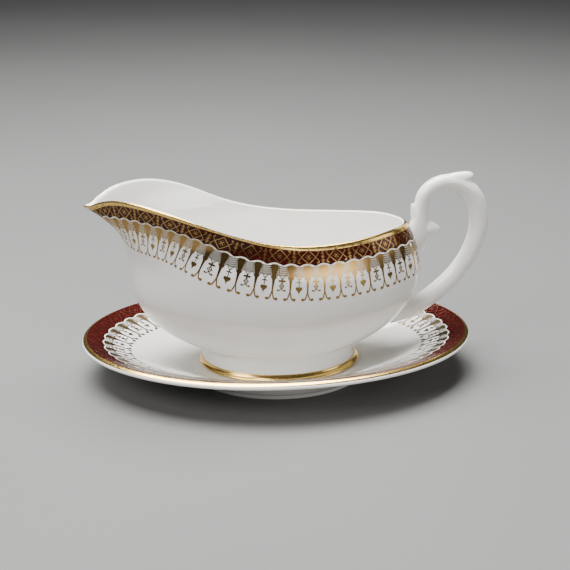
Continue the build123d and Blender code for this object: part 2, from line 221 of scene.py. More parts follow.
# outside, from the neck to just under the rim
LIP = np.exp(-((PHI - np.pi) / 0.22) ** 2)          # the lip's tip is finer and reaches a little further
H = 1.15 - 0.5 * LIP
ZR = ZR + 0.55 * LIP
t = np.linspace(0, 1, 64)
t = t + 0.06 * np.sin(np.pi * t) * t
Z0 = 19.0
for k in t:
    z = Z0 + (ZR - H - Z0) * k
    rows.append(on_hull(PHI, z))
A_out = rows[-1]
zin = ZR - H
xi, yi = section(inner_params(zin), PHI)
A_in = np.stack([xi, yi, zin], -1)
mid, half = (A_out + A_in) / 2, (A_out - A_in) / 2
up_o = unit(on_hull(PHI, ZR - H + 0.2) - on_hull(PHI, ZR - H - 0.2))
x2, y2 = section(inner_params(zin + 0.2), PHI); x1, y1 = section(inner_params(zin - 0.2), PHI)
up_i = unit(np.stack([x2 - x1, y2 - y1, np.full(NF, 0.4)], -1))
up = unit(up_o + up_i)
RIM_ROWS = []
for a in np.linspace(0, np.pi, 15)[1:-1]:
    RIM_ROWS.append(mid + half * math.cos(a) + up * (H * 1.08)[:, None] * math.sin(a))
rows += RIM_ROWS
rows.append(A_in)
for k in np.linspace(0, 1, 62)[1:]:
    k = k ** 0.92
    z = zin + (18.9 - zin) * k
    x, y = section(inner_params(z), PHI)
    rows.append(np.stack([x, y, z], -1))
# bottom of the inside
last = rows[-1]
cen = np.array([-0.5, 0, 18.75])
for k in (0.8, 0.55, 0.3, 0.1, 0.01):
    r = cen + (last - cen) * k
    r[:, 2] = 18.75 + 0.15 * k * k
    rows.append(r)
verts = np.concatenate(rows)
faces = grid_faces(NF, len(rows))
faces = [tuple(f) for f in faces]
faces.append(tuple(range(NF - 1, -1, -1)))                      # underside's centre
faces.append(tuple(range(len(verts) - NF, len(verts))))         # inside's centre
bowl = make_mesh("boat_bowl_china", verts, faces)

# ------------------------------------------------------------------ rim coordinates: along the rim, and down from it
NS, ND, STEP = 1400, 66, 0.45
phs = np.linspace(0, 2 * np.pi, 6001)
prim = on_hull(phs, rim_height(phs))
cum = np.concatenate([[0], np.cumsum(np.linalg.norm(np.diff(prim, axis=0), axis=1))])
RIM_LEN = cum[-1]
S_TIP = float(np.interp(np.pi, phs, cum))     # rim length from the back to the lip
sgrid = np.linspace(0, RIM_LEN, NS)
fs = np.interp(sgrid, cum, phs)
zs_ = rim_height(fs)


def project(f, z, target):
    for _ in range(4):
        p, du, dv, n = hull_frame(f, z)
        e = target - p
        a, b, c = (du * du).sum(-1), (du * dv).sum(-1), (dv * dv).sum(-1)
        r1, r2 = (e * du).sum(-1), (e * dv).sum(-1)
        det = a * c - b * b
        f = f + np.clip((r1 * c - r2 * b) / det, -0.05, 0.05)
        z = z + (r2 * a - r1 * b) / det
    return f, z


P, DU, DV, N = hull_frame(fs, zs_)
dfs = 1e-3
T = unit(on_hull(fs + dfs, rim_height(fs + dfs)) - on_hull(fs - dfs, rim_height(fs - dfs)))
# the direction down the wall, square to the rim on the surface, turned to point downwards
D = unit(np.cross(T, N))
D = np.where(D[:, 2:3] > 0, -D, D)
GP, GN = [P], [N]
f, z = fs.copy(), zs_.copy()
for k in range(ND - 1):
    f, z = project(f, z, P + D * STEP)
    P, DU, DV, N = hull_frame(f, z)
    D = unit(D - N * (D * N).sum(-1, keepdims=True))
    GP.append(P)
    GN.append(N)
GP, GN = np.array(GP).transpose(1, 0, 2), np.array(GN).transpose(1, 0, 2)     # [along, down, xyz]


def on_boat(s, d, lift):
    """Point and normal at rim length s and depth d, lifted off the glaze, by smooth lookup."""
    s = np.mod(np.asarray(s, float), RIM_LEN)
    d = np.asarray(d, float) * (1 - 0.21 * np.exp(-((s - S_TIP) / 15.0) ** 2))
    i = s / RIM_LEN * (NS - 1)
    i0 = np.clip(i.astype(int), 0, NS - 2)
    a = (i - i0)[..., None]
    j = np.clip(np.asarray(d, float) / STEP, 0, ND - 1.001)
    j0 = j.astype(int)
    b = (j - j0)[..., None]
    p = (1 - a) * ((1 - b) * GP[i0, j0] + b * GP[i0, j0 + 1]) + a * ((1 - b) * GP[i0 + 1, j0] + b * GP[i0 + 1, j0 + 1])
    n = unit((1 - a) * ((1 - b) * GN[i0, j0] + b * GN[i0, j0 + 1]) + a * ((1 - b) * GN[i0 + 1, j0] + b * GN[i0 + 1, j0 + 1]))
    return p + n * np.asarray(lift)[..., None], n


# ------------------------------------------------------------------ the stand
STAND_PROFILE = [   # a, b, z from the middle of the well out over the rim and back under
    (0.6, 0.5, 5.50), (20.0, 16.0, 5.50), (36.0, 28.5, 5.50), (42.6, 33.6, 5.50), (44.3, 35.0, 5.56), (45.6, 35.9, 5.85),
    (47.6, 36.9, 6.25), (50.5, 38.0, 6.65), (56.0, 39.8, 7.7), (62.0, 41.5, 9.1), (68.5, 43.1, 11.0), (74.4, 45.0, 13.3),
    (79.5, 49.3, 15.3), (84.5, 53.9, 17.25), (89.0, 58.3, 18.85), (93.0, 61.8, 20.15), (95.6, 64.0, 21.05), (96.6, 64.9, 21.45),
    (97.2, 65.45, 21.55), (97.9, 66.1, 21.38), (98.7, 66.9, 21.0), (99.3, 67.5, 20.5), (99.6, 67.8, 19.9), (99.55, 67.75, 19.3),
    (99.1, 67.3, 18.8), (98.2, 66.4, 18.4), (95.9, 64.2, 17.95), (91.0, 60.1, 16.5), (84.4, 54.4, 14.1), (76.6, 48.7, 10.9), (68.2, 45.4, 8.1), (58.5, 43.0, 5.5), (51.5, 41.6, 4.0),
    (47.6, 40.6, 3.2), (46.2, 39.8, 2.6), (45.6, 39.35, 1.6), (45.3, 39.05, 0.7), (44.9, 38.7, 0.15), (44.2, 38.0, 0.0),
    (42.9, 36.7, 0.0), (42.2, 36.0, 0.2), (41.8, 35.6, 0.9), (41.3, 35.1, 2.2), (40.4, 34.2, 2.75), (37.0, 31.5, 2.85),
    (20.0, 16.0, 2.85), (0.6, 0.5, 2.85)]
sp = np.array(STAND_PROFILE)


def hermite_rows(r, per):
    """Monotone-ish smooth rows: centripetal Catmull-Rom through the profile."""
    out = []
    n = len(r)
    for i in range(n - 1):
        p0, p1, p2, p3 = r[max(i - 1, 0)], r[i], r[i + 1], r[min(i + 2, n - 1)]
        d1 = max(np.linalg.norm(p2 - p1), 1e-6) ** 0.5
        d0 = max(np.linalg.norm(p1 - p0), 1e-6) ** 0.5 if i > 0 else d1
        d2 = max(np.linalg.norm(p3 - p2), 1e-6) ** 0.5 if i < n - 2 else d1
        m1 = ((p1 - p0) / d0 - (p2 - p0) / (d0 + d1) + (p2 - p1) / d1) * d1
        m2 = ((p2 - p1) / d1 - (p3 - p1) / (d1 + d2) + (p3 - p2) / d2) * d1
        if i == 0:
            m1 = p2 - p1
        if i == n - 2:
            m2 = p2 - p1
        k = max(2, int(np.ceil(np.linalg.norm(p2 - p1) / per)))
        for j in range(k):
            t_ = j / k
            out.append((2 * t_**3 - 3 * t_**2 + 1) * p1 + (t_**3 - 2 * t_**2 + t_) * m1 + (-2 * t_**3 + 3 * t_**2) * p2 + (t_**3 - t_**2) * m2)
    out.append(r[-1])
    return np.array(out)


prof = hermite_rows(sp, 1.1)
NT = 480
tt = np.linspace(0, 2 * np.pi, NT, endpoint=False)
tt = tt - 0.06 * np.sin(2 * tt)
sv = np.concatenate([np.stack([a * np.cos(tt), b * np.sin(tt), np.full(NT, z)], -1) for a, b, z in prof[::-1]])
sf = [tuple(f) for f in grid_faces(NT, len(prof))]
sf.append(tuple(range(NT - 1, -1, -1)))
sf.append(tuple(range(len(sv) - NT, len(sv))))
stand = make_mesh("stand_china", sv, sf)

# upper surface by distance in from the edge
top = prof[: int(np.argmax(prof[:, 0])) + 1]
top = top[top[:, 0] > 60][::-1]
w_in = np.concatenate([[0], np.cumsum(np.linalg.norm(np.diff(top, axis=0)[:, [0, 2]], axis=1) * 0.5 + np.linalg.norm(np.diff(top, axis=0)[:, [1, 2]], axis=1) * 0.5)])
top_rows = Natural(w_in, top)
tq = np.linspace(0, 2 * np.pi, 4001)
e_ = np.stack([90.0 * np.cos(tq), 58.0 * np.sin(tq)], -1)
scum = np.concatenate([[0], np.cumsum(np.linalg.norm(np.diff(e_, axis=0), axis=1))])
STAND_LEN = scum[-1]


def on_stand(s, w, lift):
    s, w = np.broadcast_arrays(np.asarray(s, float), np.asarray(w, float))
    th = np.interp(np.mod(s, STAND_LEN), scum, tq)

    def at(th, w):
        r = top_rows(np.clip(w, 0, w_in[-1]))
        return np.stack([r[..., 0] * np.cos(th), r[..., 1] * np.sin(th), r[..., 2]], -1)

    p = at(th, w)
    n = unit(np.cross(at(th + 1e-3, w) - at(th - 1e-3, w), at(th, w + 0.05) - at(th, w - 0.05)))
    n = np.where(n[..., 2:3] < 0, -n, n)
    return p + n * np.asarray(lift)[..., None], n


# ------------------------------------------------------------------ flat ornament, later wrapped on either piece
class Plate:
    """Collects thin closed shapes drawn in (along, down) and wraps them on a surface."""

    def __init__(self, place, relief, sink=0.03, bold=1.0, fine=1.0):
        self.place, self.relief, self.sink, self.bold, self.fine = place, relief, sink, bold, fine
        self.v, self.n, self.f, self.count = [], [], [], 0
        self.order = 0
        self.keep = None

    def _add(self, top2, faces_top, ring):
        """top2: flat points; faces_top: faces on them; ring: boundary order, counter-clockwise or not."""
        q = np.asarray(top2, float)
        self.order += 1
        rise = self.relief + 0.0015 * (self.order % 7)
        pt, nt = self.place(q[:, 0], q[:, 1], np.full(len(q), rise))
        pb, _ = self.place(q[:, 0], q[:, 1], np.full(len(q), -self.sink))
        if self.keep is not None and not self.keep(q, pt):
            return
        m = len(q)
        c = self.count
        # orientation against the surface normal
        a, b, d = (pt[i] for i in faces_top[0][:3])
        flip = np.dot(np.cross(b - a, d - a), nt[faces_top[0][0]]) < 0
        fs_ = []
        for f_ in faces_top:
            f_ = list(f_)
            fs_.append([c + i for i in (f_[::-1] if flip else f_)])
            fs_.append([c + m + i for i in (f_ if flip else f_[::-1])])
        k = len(ring)
        for i in range(k):
            a, b = ring[i], ring[(i + 1) % k]
            fs_.append([c + a, c + b, c + m + b, c + m + a] if flip else [c + b, c + a, c + m + a, c + m + b])
        self.v += [pt, pb]
        self.n += [nt, nt]
        self.f += fs_
        self.count += 2 * m

    def ribbon(self, pts, width, step=0.8):
        p = np.asarray(pts, float)
        w = (np.full(len(p), float(width)) if np.isscalar(width) else np.asarray(width, float)) * self.bold
        d = np.concatenate([[0], np.cumsum(np.linalg.norm(np.diff(p, axis=0), axis=1))])
        k = max(len(p), int(np.ceil(d[-1] / step)) + 1)
        q = np.linspace(0, d[-1], k)
        if len(p) > 2:
            sp_ = Natural(d, np.column_stack([p, w]))(q)
            p, w = sp_[:, :2], np.maximum(sp_[:, 2], 0.05)
        else:
            p, w = np.stack([np.interp(q, d, p[:, 0]), np.interp(q, d, p[:, 1])], -1), np.interp(q, d, w)
        g = unit(np.gradient(p, axis=0))
        nrm = np.stack([-g[:, 1], g[:, 0]], -1) * w[:, None] / 2
        top2 = np.concatenate([p + nrm, p - nrm])
        faces_top = [(i, i + 1, k + i + 1, k + i) for i in range(k - 1)]
        ring = list(range(k)) + list(range(2 * k - 1, k - 1, -1))
        self._add(top2, faces_top, ring)

    def blob(self, outline):
        """A filled shape that its own middle can see all of."""
        o = np.asarray(outline, float)
        m = len(o)
        top2 = np.concatenate([o, o.mean(0)[None]])
        self._add(top2, [(i, (i + 1) % m, m) for i in range(m)], list(range(m)))

    def disc(self, x, y, r, n=10, squash=1.0):
        a = np.linspace(0, 2 * np.pi, n, endpoint=False)
        r = r * (0.5 + 0.5 * self.bold)
        self.blob(np.stack([x + r * np.cos(a), y + r * squash * np.sin(a)], -1))

    def closed_ribbon(self, pts, width):
        """A ring of constant width round a convex or nearly convex outline (mitred corners)."""
        p = np.asarray(pts, float)
        m = len(p)
        a, b = unit(p - np.roll(p, 1, 0)), unit(np.roll(p, -1, 0) - p)
        na, nb = np.stack([-a[:, 1], a[:, 0]], -1), np.stack([-b[:, 1], b[:, 0]], -1)
        mit = unit(na + nb)
        mit = mit / np.maximum((mit * na).sum(-1, keepdims=True), 0.35) * width * self.bold / 2
        o, i_ = p + mit, p - mit
        for k in range(m):
            k2 = (k + 1) % m
            seg = 4
            tq_ = np.linspace(0, 1, seg + 1)[:, None]
            e1, e2 = o[k] + (o[k2] - o[k]) * tq_, i_[k] + (i_[k2] - i_[k]) * tq_
            self._add(np.concatenate([e1, e2]), [(j, j + 1, seg + 2 + j, seg + 1 + j) for j in range(seg)],
                      list(range(seg + 1)) + list(range(2 * seg + 1, seg, -1)))

    def build(self, name):
        return make_mesh(name, np.concatenate(self.v), self.f, normals=np.concatenate(self.n))


def lace(plate, s0, pitch, top_, depth, kind, sign=1.0):
    """One motif of the lace border, centred on its wedge at s0; the window is on its far side."""
    L = depth
    k = pitch / 7.6
    y = lambda q: top_ + q * L
    # the wedge, rounded at its top and drawn out into a stem
    wq = np.array([0.0, 0.025, 0.07, 0.15, 0.25, 0.36, 0.48, 0.60, 0.74])
    ww = np.array([1.30, 1.70, 1.78, 1.50, 1.12, 0.76, 0.48, 0.34, 0.28]) * k
    q2 = np.linspace(0, 0.74, 15)
    w2 = np.interp(q2, wq, ww) + 0.5 * (plate.bold - 1) * np.clip((q2 - 0.15) / 0.2, 0, 1)
    left = [(s0 - w_, y(q_)) for q_, w_ in zip(q2, w2)]
    right = [(s0 + w_, y(q_)) for q_, w_ in zip(q2, w2)]
    m = len(left)
    plate._add(np.array(left + right), [(i, i + 1, m + i + 1, m + i) for i in range(m - 1)],
               list(range(m)) + list(range(2 * m - 1, m - 1, -1)))
    # the two legs and their ball feet
    for e in (-1, 1):
        plate.ribbon([(s0 + e * u * k, y(q)) for u, q in ((0.06, 0.69), (0.24, 0.78), (0.62, 0.87), (1.10, 0.94), (1.66, 0.965))],
                     [0.40, 0.44, 0.50, 0.52, 0.56])
        plate.disc(s0 + e * 1.92 * k, y(0.942), 0.70, 12)
    # the window to the right: c is its middle
    c = s0 + pitch / 2
    side = lambda u, q: (c + u * k, y(q))
    # fine lattice that hangs from the scallop
    for j, q in enumerate((0.03, 0.085, 0.14, 0.195, 0.25)):
        reach = np.interp(q, [0.0, 0.2, 0.30], [2.1, 2.45, 2.85])
        zig = []
        nz = 7
        for i in range(nz):
            u = -reach + 2 * reach * i / (nz - 1)
            zig.append(side(u, q + (0.026 if i % 2 else 0.0) + 0.03 * (1 - abs(u) / reach)))
        plate.ribbon(zig, 0.46 * plate.fine / plate.bold, step=0.7)
    # the lattice's lower edge: two pointed arches meeting in the middle
    for e in (-1, 1):
        plate.ribbon([side(e * u, q) for u, q in ((2.95, 0.40), (2.50, 0.315), (1.95, 0.275), (1.35, 0.295), (0.7, 0.34), (0.0, 0.40))], 0.38)
        plate.ribbon([side(e * u, q) for u, q in ((1.55, 0.04), (1.60, 0.27))], 0.22)
    if kind:
        plate.ribbon([side(0, 0.38), side(0, 0.60)], [0.36, 0.32])
        plate.ribbon([side(-1.12, 0.462), side(0, 0.445), side(1.12, 0.462)], [0.44, 0.52, 0.44])
        plate.blob([side(u, q) for u, q in ((0.0, 0.565), (0.42, 0.60), (0.98, 0.578), (1.52, 0.618), (1.34, 0.668), (0.74, 0.70),
                                            (0.28, 0.745), (0.0, 0.80), (-0.28, 0.745), (-0.74, 0.70), (-1.34, 0.668), (-1.52, 0.618),
                                            (-0.98, 0.578), (-0.42, 0.60))])
    else:
        plate.ribbon([side(0, 0.38), side(0, 0.47)], 0.36)
        for u, q, a_ in ((0.92, 0.44, 0), (-0.92, 0.44, 0), (0, 0.408, 1), (0, 0.478, 1)):
            aa = np.linspace(0, 2 * np.pi, 10, endpoint=False)
            ru, rq = (0.74, 0.029) if a_ == 0 else (0.40, 0.036)
            plate.blob([side(u + ru * np.cos(x), q + rq * np.sin(x)) for x in aa])
        plate.closed_ribbon([side(0, 0.505), side(0.95, 0.575), side(0, 0.645), side(-0.95, 0.575)], 0.38)
        plate.disc(*side(0, 0.575), 0.34, 8)
        for e in (-1, 1):
            plate.ribbon([side(e * u, q) for u, q in ((0.0, 0.638), (0.5, 0.675), (1.0, 0.71), (1.4, 0.705))], 0.38)
            plate.disc(*side(e * 1.50, 0.695), 0.46, 9)


def scallop(s, s0, pitch, rise):
    """Down-pointing cusps between the wedges, arcs over them."""
    u = np.mod((s - s0) / pitch + 0.5, 1.0) - 0.5
    return rise * (1 - np.cos(np.pi * u)) * 1.0


def band_print(plate, s0, pitch, mid_, height):
    k, g = pitch / 14.2, height / 8.3
    at = lambda u, v: (s0 + u * k, mid_ + v * g)
    plate.closed_ribbon([at(-3.6, 0), at(0, -3.4), at(3.6, 0), at(0, 3.4)], 0.46)
    for j in range(4):
        a_ = np.pi / 4 + j * np.pi / 2
        c_, s_ = math.cos(a_), math.sin(a_)
        aa = np.linspace(0, 2 * np.pi, 9, endpoint=False)
        plate.blob([at(0.85 * c_ + 0.62 * math.cos(x) * c_ - 0.34 * math.sin(x) * s_, 0.80 * s_ + 0.62 * math.cos(x) * s_ + 0.34 * math.sin(x) * c_) for x in aa])
    plate.disc(*at(0, 0), 0.36, 8)
    for j in range(4):
        a_ = j * np.pi / 2
        plate.disc(*at(1.55 * math.cos(a_), 1.4 * math.sin(a_)), 0.2, 7)
    for e in (-1, 1):
        for h in (-1, 1):
            plate.ribbon([at(e * u, h * v) for u, v in ((3.2, -0.25), (3.9, 0.45), (4.6, 1.25), (5.15, 2.15), (4.95, 2.95), (4.35, 3.0))],
                         [0.30, 0.36, 0.40, 0.42, 0.38, 0.26])
            plate.disc(*at(e * 4.45, h * 2.75), 0.44, 10)
    # the small flower between two lozenges
    plate.blob([at(7.1 + u, v) for u, v in ((0, -1.2), (0.55, -0.5), (0.95, 0.0), (0.55, 0.5), (0, 1.2), (-0.55, 0.5), (-0.95, 0.0), (-0.55, -0.5))])
    for h in (-1, 1):
        plate.blob([at(7.1 + u, h * v) for u, v in ((0, 1.35), (0.42, 1.85), (0.62, 2.35), (0.30, 2.85), (0, 3.05), (-0.30, 2.85), (-0.62, 2.35), (-0.42, 1.85))])
        plate.ribbon([at(7.1 - 1.15, h * 1.75), at(7.1, h * 1.28), at(7.1 + 1.15, h * 1.75)], [0.24, 0.34, 0.24])


# ---- boat: rim line, maroon band, print, lace
RIM_LINE, BAND, LACE = 1.15, 8.5, 17.6
SCALLOP = 1.25
n_lace = int(round(RIM_LEN / 7.35 / 2)) * 2
PITCH = RIM_LEN / n_lace
n_print = int(round(RIM_LEN / 13.6))
PPITCH = RIM_LEN / n_print
KEEL = 6.0


def right_side(q, pt):
    """Keeps an ornament on its own side of the lip's keel, and off the handle's seat."""
    s = np.mod(q[:, 0], RIM_LEN)
    near_tip = np.abs(s - S_TIP) < 34.0
    want = np.where(s < S_TIP, 1.0, -1.0)
    if np.any(near_tip & (pt[:, 1] * want < 0.12)):
        return False
    back = (pt[:, 0] > 55) & (np.abs(pt[:, 1]) < 4.4)
    return not np.any(back)


def sheet_on_boat(name, d0, d1, lift, s_list, rows_, edge0=None, edge1=None, sink=0.03):
    """A thin closed skin between two depths, all round, that closes at the lip's keel."""
    k = len(s_list)
    tops, bots, nn = [], [], []
    for j in range(rows_):
        v = j / (rows_ - 1)
        a0 = d0 + (edge0(s_list) if edge0 else 0)
        a1 = d1 + (edge1(s_list) if edge1 else 0)
        d = a0 + (a1 - a0) * v
        r = 0.0 if j in (0, rows_ - 1) else 1.0
        p, n = on_boat(s_list, d, np.full(k, lift * (0.55 + 0.45 * r)))
        b, _ = on_boat(s_list, d, np.full(k, -sink))
        tops.append(p); bots.append(b); nn.append(n)
    tops, bots, nn = np.array(tops), np.array(bots), np.array(nn)
    for arr in (tops, bots):     # what crosses the keel is laid on it
        want = np.where(s_list < S_TIP, 1.0, -1.0)
        near = np.abs(s_list - S_TIP) < 40
        cross = near[None] & (arr[..., 1] * want[None] < 0)
        arr[..., 1] = np.where(cross, 0.0, arr[..., 1])
    v = np.concatenate([tops.reshape(-1, 3), bots[::-1].reshape(-1, 3)])
    n = np.concatenate([nn.reshape(-1, 3), nn[::-1].reshape(-1, 3)])
    f_ = [tuple(q) for q in grid_faces(k, rows_ * 2)]
    off = (2 * rows_ - 1) * k
    f_ += [(off + i, off + (i + 1) % k, (i + 1) % k, i) for i in range(k)]
    return v, n, [q[::-1] for q in f_]


def solid_skin(name, *args, **kw):
    v, n, f_ = sheet_on_boat(name, *args, **kw)
    ob = make_mesh(name, v, f_, normals=n)
    return ob


s_all = np.linspace(0, RIM_LEN, 1500, endpoint=False)
LACE_AT, PRINT_AT = -2.4, 7.0     # where the two patterns start, along the rim
edge = lambda s: scallop(s, LACE_AT, PITCH, SCALLOP) - SCALLOP
print("rim length", RIM_LEN, "lace", n_lace, PITCH, "print", n_print, PPITCH)
band = solid_skin("boat_maroon_ground", RIM_LINE - 0.12, RIM_LINE + BAND + 0.15, 0.035, s_all, 9, edge1=edge)
beading = solid_skin("boat_scallop_line", RIM_LINE + BAND + 0.04, RIM_LINE + BAND + 0.50, 0.055, s_all, 4, edge0=edge, edge1=edge)

lace_plate = Plate(on_boat, 0.05, bold=1.12, fine=1.25)
lace_plate.keep = right_side
for i in range(n_lace):
    lace(lace_plate, i * PITCH + LACE_AT, PITCH, RIM_LINE + BAND + 0.75 - SCALLOP, LACE, i % 2 == 0)
lace_ob = lace_plate.build("boat_lace_print")

print_plate = Plate(on_boat, 0.07, bold=1.12)
print_plate.keep = right_side
for i in range(n_print):
    band_print(print_plate, (i + 0.5) * PPITCH + PRINT_AT, PPITCH, RIM_LINE + BAND / 2 - 0.1, BAND - 0.3)
print_ob = print_plate.build("boat_band_print")

# gilding over the outer half of the rounded rim
gr = [on_boat(np.interp(PHI, phs, cum), np.full(NF, d_), np.zeros(NF)) for d_ in (RIM_LINE, RIM_LINE * 0.8)]
gold_rows = [on_hull(PHI, ZR - H - q_) for q_ in (1.25, 0.85, 0.42)] + [A_out] + RIM_ROWS[:6]
allr = np.array(gold_rows)
nn_ = []
for j in range(len(allr)):
    a, b = allr[max(j - 1, 0)], allr[min(j + 1, len(allr) - 1)]
    tu = np.roll(allr[j], -1, 0) - np.roll(allr[j], 1, 0)
    nn_.append(unit(np.cross(tu, b - a)))
nn_ = np.array(nn_)
lift = np.array([0.03] + [0.06] * (len(allr) - 2) + [0.03])[:, None, None]
gt, gb = allr + nn_ * lift, allr - nn_ * 0.03
v = np.concatenate([gt.reshape(-1, 3), gb[::-1].reshape(-1, 3)])
R2 = len(allr) * 2
f_ = [tuple(q) for q in grid_faces(NF, R2)] + [((R2 - 1) * NF + i, (R2 - 1) * NF + (i + 1) % NF, (i + 1) % NF, i) for i in range(NF)]
rim_gold = make_mesh("boat_rim_gold", v, f_)

# gilding round the flared foot
fz = fo[(fo[:, 0] > 5.58) & (fo[:, 0] < 9.5)]
zs, ps = foot_params(fz)
fr = np.array(rows_at(zs, ps))
nf_ = []
for j in range(len(fr)):
    a, b = fr[max(j - 1, 0)], fr[min(j + 1, len(fr) - 1)]
    nf_.append(unit(np.cross(np.roll(fr[j], -1, 0) - np.roll(fr[j], 1, 0), b - a)))
nf_ = np.array(nf_)
lift = np.array([0.03] + [0.06] * (len(fr) - 2) + [0.03])[:, None, None]
gt, gb = fr + nf_ * lift, fr - nf_ * 0.03
v = np.concatenate([gt.reshape(-1, 3), gb[::-1].reshape(-1, 3)])
R2 = len(fr) * 2
f_ = [tuple(q) for q in grid_faces(NF, R2)] + [((R2 - 1) * NF + i, (R2 - 1) * NF + (i + 1) % NF, (i + 1) % NF, i) for i in range(NF)]
foot_gold = make_mesh("boat_foot_gold", v, f_)

# ---- stand: edge line, maroon band, print, lace
W_SCALLOP = float(np.interp(-88.3, -top[:, 0], w_in))
W_LACE_END = float(np.interp(-74.4, -top[:, 0], w_in))
W_EDGE = 1.15
LINE_W = 2.1


def stand_skin(name, w0, w1, lift_, rows_, edge0=None, edge1=None):
    s_ = np.linspace(0, STAND_LEN, 1400, endpoint=False)
    tops, bots, nn = [], [], []
    for j in range(rows_):
        a0 = w0 + (edge0(s_) if edge0 else 0)
        a1 = w1 + (edge1(s_) if edge1 else 0)
        w = a0 + (a1 - a0) * j / (rows_ - 1)
        r = 0.55 if j in (0, rows_ - 1) else 1.0
        p, n = on_stand(s_, w, np.full(len(s_), lift_ * r))
        b, _ = on_stand(s_, w, np.full(len(s_), -0.03))
        tops.append(p); bots.append(b); nn.append(n)
    tops, bots, nn = np.array(tops), np.array(bots), np.array(nn)
    k = len(s_)
    v = np.concatenate([tops.reshape(-1, 3), bots[::-1].reshape(-1, 3)])
    n = np.concatenate([nn.reshape(-1, 3), nn[::-1].reshape(-1, 3)])
    f_ = [tuple(q) for q in grid_faces(k, rows_ * 2)]
    off = (2 * rows_ - 1) * k
    f_ += [(off + i, off + (i + 1) % k, (i + 1) % k, i) for i in range(k)]
    return make_mesh(name, v, f_, normals=n)


n_sl = int(round(STAND_LEN / 8.0 / 2)) * 2
SPITCH = STAND_LEN / n_sl
n_sp = int(round(STAND_LEN / 14.2))
SPP = STAND_LEN / n_sp
sedge = lambda s: scallop(s, 0.0, SPITCH, SCALLOP) - SCALLOP
stand_gold = stand_skin("stand_edge_gold", W_EDGE, W_EDGE + LINE_W, 0.06, 12)
stand_band = stand_skin("stand_maroon_ground", W_EDGE + LINE_W - 0.08, W_SCALLOP + 0.15, 0.035, 34, edge1=sedge)
stand_bead = stand_skin("stand_scallop_line", W_SCALLOP + 0.04, W_SCALLOP + 0.50, 0.055, 4, edge0=sedge, edge1=sedge)
sl = Plate(on_stand, 0.05, bold=1.6, fine=0.82)
for i in range(n_sl):
    lace(sl, i * SPITCH, SPITCH, W_SCALLOP + 0.75 - SCALLOP, W_LACE_END - W_SCALLOP, i % 2 == 0)
stand_lace = sl.build("stand_lace_print")
sb = Plate(on_stand, 0.06)
BW = W_SCALLOP - (W_EDGE + LINE_W)
for i in range(n_sp):
    band_print(sb, (i + 0.5) * SPP, SPP, W_EDGE + LINE_W + BW / 2 - 0.1, BW - 0.3)
stand_print = sb.build("stand_band_print")


# ------------------------------------------------------------------ the handle
def tube(stations, per=14, ring=36, ridge=0.0):
    st = np.array(stations, float)
    d = np.concatenate([[0], np.cumsum(np.linalg.norm(np.diff(st[:, :2], axis=0), axis=1))])
    q = Natural(d, st)(np.linspace(0, d[-1], per))
    g = unit(np.gradient(q[:, :2], axis=0))
    a = np.linspace(0, 2 * np.pi, ring, endpoint=False)
    vs = []
    for (x, z, w, th), (gx, gz) in zip(q, g):
        # side direction in the plane: to the left of travel
        px, pz = -gz, gx
        cs, sn = np.cos(a), np.sin(a)
        rr = 1 + ridge * np.maximum(0, cs) ** 6
        u = cs * w * rr
        vs.append(np.stack([x + px * u, th * sn * (1 - 0.05 * cs), z + pz * u], -1))
    vs = np.concatenate(vs)
    fs_ = [tuple(x) for x in grid_faces(ring, len(q))]
    fs_.append(tuple(range(ring)))
    fs_.append(tuple(range(len(vs) - 1, len(vs) - 1 - ring, -1)))
    return vs, fs_


spine = HANDLE.copy()
spine[15] = (73.4, 89.6, 3.85, 3.9)
spine[16] = (72.5, 84.2, 3.75, 3.9)
spine[17] = (72.1, 78.0, 4.5, 4.3)
spine[6:12, 2] = (4.6, 4.8, 5.0, 5.0, 4.85, 4.5)
spine[7:10, 0] -= 0.15
parts = [tube(spine, 120, 40, 0.05)]
for pts in (
    [(86.0, 97.6, 3.7, 3.4), (91.0, 98.6, 3.6, 3.2), (94.4, 99.4, 3.1, 2.9), (96.3, 99.9, 2.65, 2.6), (97.6, 100.3, 1.9, 2.0), (98.6, 100.6, 0.8, 1.0)],
    [(92.5, 95.0, 3.6, 3.2), (95.0, 97.0, 3.1, 2.8), (96.9, 98.4, 2.35, 2.2), (98.2, 99.4, 1.2, 1.3)],
    [(72.0, 77.5, 4.2, 3.6), (70.3, 80.6, 3.2, 3.0), (69.0, 83.3, 2.0, 2.2), (67.9, 85.6, 0.9, 1.1), (67.5, 86.6, 0.4, 0.5)],
    [(71.0, 73.8, 5.4, 4.2), (75.5, 73.0, 5.2, 3.9), (78.4, 72.8, 4.2, 3.4), (80.4, 73.0, 2.9, 2.7), (81.9, 73.1, 1.7, 1.8), (82.9, 73.2, 0.7, 0.8)],
    [(69.5, 70.0, 5.4, 4.2), (71.6, 66.4, 4.5, 3.7), (72.6, 63.6, 3.3, 3.0), (72.8, 61.4, 1.8, 2.0), (72.8, 60.3, 0.8, 1.0)],
):
    parts.append(tube(pts, 22, 24))
hv, hf, off = [], [], 0
for v_, f2 in parts:
    hv.append(v_)
    hf += [tuple(i + off for i in x) for x in f2]
    off += len(v_)
handle = make_mesh("boat_handle_china", np.concatenate(hv), hf)
import bmesh
bm = bmesh.new(); bm.from_mesh(handle.data); bmesh.ops.recalc_face_normals(bm, faces=bm.faces); bm.to_mesh(handle.data); bm.free()


def apply(ob, kind, **kw):
    m = ob.modifiers.new(kind, kind)
    for k_, v_ in kw.items():
        setattr(m, k_, v_)
    bpy.context.view_layer.objects.active = ob
    for o in bpy.context.selected_objects:
        o.select_set(False)
    ob.select_set(True)
    bpy.ops.object.modifier_apply(modifier=m.name)


apply(handle, "REMESH", mode="VOXEL", voxel_size=0.00036)
apply(handle, "SMOOTH", factor=0.5, iterations=9)
